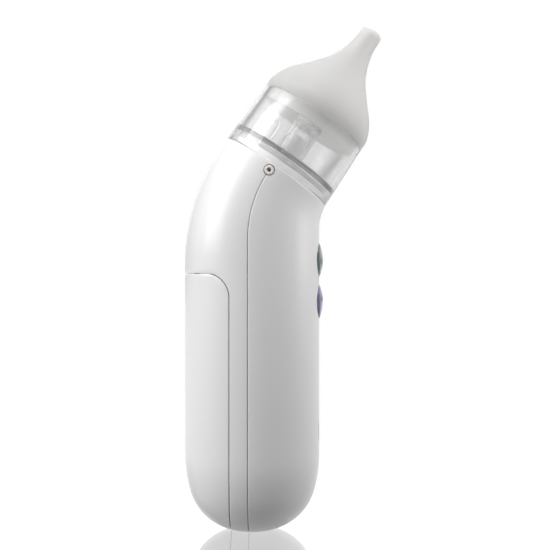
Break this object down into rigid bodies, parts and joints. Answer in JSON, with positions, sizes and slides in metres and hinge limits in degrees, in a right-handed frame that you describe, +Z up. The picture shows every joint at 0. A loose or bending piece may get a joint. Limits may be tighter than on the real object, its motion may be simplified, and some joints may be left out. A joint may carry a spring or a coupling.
{
  "type": "nasal aspirator",
  "caption": "Battery hand-held nasal aspirator: bent oval body, two front buttons, clear collection cup and soft cone nozzle on a head that leans forward, diaphragm pump inside.",
  "frame": {"origin": "middle of the small flat that the body stands on", "axes": "+Z up along the body, -Y towards the front, where the buttons are and the head leans, +X sideways"},
  "size_m": [0.041, 0.0648, 0.1661],
  "materials": {
    "body_plastic": "satin",
    "clear_plastic": "clear polycarbonate",
    "soft_silicone": "frosted translucent silicone",
    "seal_rubber": "matte",
    "seat_plastic": "matte",
    "teal_button": "gloss",
    "violet_button": "gloss",
    "stud_plastic": "satin",
    "dark_plastic": "matte",
    "white_plastic": "matte",
    "steel": "brushed",
    "chrome_steel": "polished",
    "brass": "plain",
    "copper": "enamelled copper wire",
    "board": "solder mask",
    "magnet": "ferrite",
    "paper": "pressed paper",
    "foam": "filter felt",
    "cell_wrap": "printed sleeve left plain",
    "wire_sleeve": "PVC"
  },
  "bodies": {
    "body": {"battery_leads": "wire_sleeve", "battery_left": "cell_wrap", "battery_right": "cell_wrap", "battery_springs": "steel", "battery_tray": "white_plastic", "board_components": "dark_plastic", "board_screws": "steel", "case_screws": "steel", "circuit_board": "board", "contact_plates": "chrome_steel", "front_shell": "body_plastic", "head_seat": "seat_plastic", "inlet_filter": "foam", "motor_brushes": "brass", "motor_bushes": "brass", "motor_can": "steel", "motor_end_cap": "dark_plastic", "motor_leads": "wire_sleeve", "motor_magnets": "magnet", "motor_screws": "steel", "pump_bracket": "white_plastic", "pump_chamber_ring": "white_plastic", "pump_cover": "white_plastic", "pump_diaphragm": "seal_rubber", "pump_screws": "steel", "rear_shell": "body_plastic", "seat_gasket": "seal_rubber", "seat_pins": "stud_plastic", "speaker_cone": "paper", "speaker_frame": "steel", "speaker_leads": "wire_sleeve", "speaker_magnet": "magnet", "suction_tube": "soft_silicone", "tact_switches": "dark_plastic", "valve_flaps": "seal_rubber", "valve_plate": "white_plastic"},
    "suction_button": {"suction_button": "teal_button", "suction_plunger": "dark_plastic"},
    "music_button": {"music_button": "violet_button", "music_plunger": "dark_plastic"},
    "battery_door": {"battery_door": "body_plastic"},
    "cup": {"collection_cup": "clear_plastic", "baffle_cage": "clear_plastic"},
    "nozzle": {"nozzle_tip": "soft_silicone"},
    "rotor": {"motor_shaft": "chrome_steel", "armature_core": "steel", "armature_windings": "copper", "commutator": "brass", "crank_eccentric": "brass", "bearing_inner_race": "chrome_steel"},
    "pump_rod": {"connecting_rod": "white_plastic", "bearing_outer_race": "chrome_steel", "bearing_balls": "chrome_steel", "piston_screw": "steel"}
  },
  "joints": [
    {"name": "suction_button_press", "type": "slide", "parent": "body", "child": "suction_button", "axis": [0, 1, 0], "range_m": [0, 0.0008], "stiffness_N_per_m": 1500},
    {"name": "music_button_press", "type": "slide", "parent": "body", "child": "music_button", "axis": [0, 1, 0], "range_m": [0, 0.0008], "stiffness_N_per_m": 1500},
    {"name": "battery_door_slide", "type": "slide", "parent": "body", "child": "battery_door", "axis": [0, 0, -1], "range_m": [0, 0.09]},
    {"name": "cup_pull", "type": "slide", "parent": "body", "child": "cup", "axis": [0, -0.5664, 0.8241], "range_m": [0, 0.03]},
    {"name": "nozzle_pull", "type": "slide", "parent": "cup", "child": "nozzle", "axis": [0, -0.5664, 0.8241], "range_m": [0, 0.025]},
    {"name": "motor_spin", "type": "hinge", "parent": "body", "child": "rotor", "pos_m": [0, 0, 0.1034], "axis": [0, 0, 1], "continuous": true},
    {"name": "crank_pin_turn", "type": "hinge", "parent": "rotor", "child": "pump_rod", "pos_m": [0, -0.0006, 0.1034], "axis": [0, 0, 1], "continuous": true, "deforming": ["pump_diaphragm"]}
  ],
  "couplings": [
    {"joint": "crank_pin_turn", "follows": "motor_spin", "ratio": -1}
  ]
}
